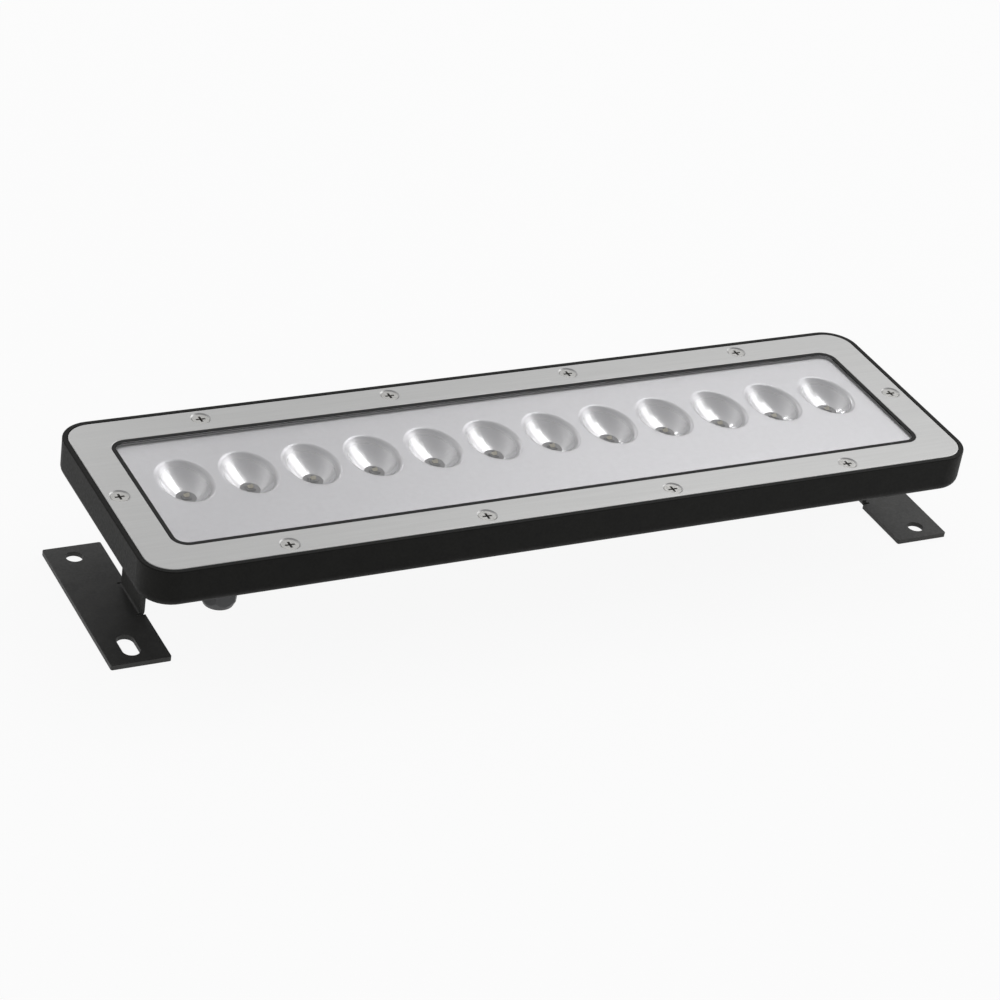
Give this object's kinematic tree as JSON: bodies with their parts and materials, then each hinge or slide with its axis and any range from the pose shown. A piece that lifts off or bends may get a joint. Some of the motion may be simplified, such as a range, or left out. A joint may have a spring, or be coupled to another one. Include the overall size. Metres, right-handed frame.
{
  "type": "wall washer light",
  "caption": "Shallow rectangular wall washer light: LED row behind a flush glass window in a screwed silver bezel, black cast housing, tilting on two bent steel wall brackets.",
  "frame": {"origin": "centre of the plane that the two brackets bolt to, midway between them", "axes": "+X along the lamp, from the cable gland's end to the other; +Y across it, away from the cable gland's side; +Z out of the lit face, away from the mounting surface"},
  "size_m": [0.375, 0.1084, 0.05],
  "materials": {
    "housing_black": "black powder coat on a die casting",
    "bezel_silver": "satin silver anodised",
    "screw_steel": "bright stainless",
    "gasket_rubber": "matt black",
    "window_clear": "clear toughened glass",
    "reflector_silver": "satin silver plate with bright metallised dishes",
    "board_grey": "grey solder mask on a metal core",
    "pad_grey": "matt grey",
    "led_grey": "grey ceramic",
    "led_silicone": "pale phosphor under clear silicone",
    "board_green": "green solder mask",
    "ferrite_grey": "dark moulded ferrite",
    "capacitor_can": "plain aluminium can",
    "chip_black": "moulded black",
    "terminal_green": "moulded green",
    "lead_red": "smooth insulation",
    "gland_nylon": "dark grey moulded nylon",
    "washer_fibre": "dark friction fibre",
    "block_black": "black powder coat",
    "bracket_black": "black powder coat on bent steel"
  },
  "bodies": {
    "left_bracket": {"left_bracket": "bracket_black"},
    "lamp": {"housing": "housing_black", "bezel": "bezel_silver", "bezel_screws": "screw_steel", "window_gasket": "gasket_rubber", "window_glass": "window_clear", "reflector_plate": "reflector_silver", "led_board": "board_grey", "thermal_pad": "pad_grey", "led_packages": "led_grey", "led_domes": "led_silicone", "led_board_screws": "screw_steel", "driver_board": "board_green", "driver_screws": "screw_steel", "driver_inductors": "ferrite_grey", "driver_capacitors": "capacitor_can", "driver_chips": "chip_black", "terminal_block": "terminal_green", "led_leads": "lead_red", "gland_body": "gland_nylon", "gland_washer": "gasket_rubber", "gland_lock_nut": "gland_nylon", "gland_seal": "gasket_rubber", "gland_cap_nut": "gland_nylon", "pivot_block_screws": "screw_steel", "friction_washers": "washer_fibre", "pivot_inner_washers": "screw_steel", "pivot_outer_washers": "screw_steel", "pivot_nuts": "screw_steel", "left_pivot_block": "block_black", "right_pivot_block": "block_black", "left_pivot_bolt": "screw_steel", "right_pivot_bolt": "screw_steel"},
    "right_bracket": {"right_bracket": "bracket_black"}
  },
  "joints": [
    {"name": "lamp_tilt", "type": "hinge", "parent": "left_bracket", "child": "lamp", "pos_m": [-0.1635, 0, 0.024], "axis": [1, 0, 0], "range_deg": [-35, 25]},
    {"name": "right_bracket_tilt", "type": "hinge", "parent": "lamp", "child": "right_bracket", "pos_m": [0.1635, 0, 0.024], "axis": [1, 0, 0], "range_deg": [-25, 35]}
  ],
  "couplings": [
    {"joint": "right_bracket_tilt", "follows": "lamp_tilt", "ratio": -1}
  ]
}
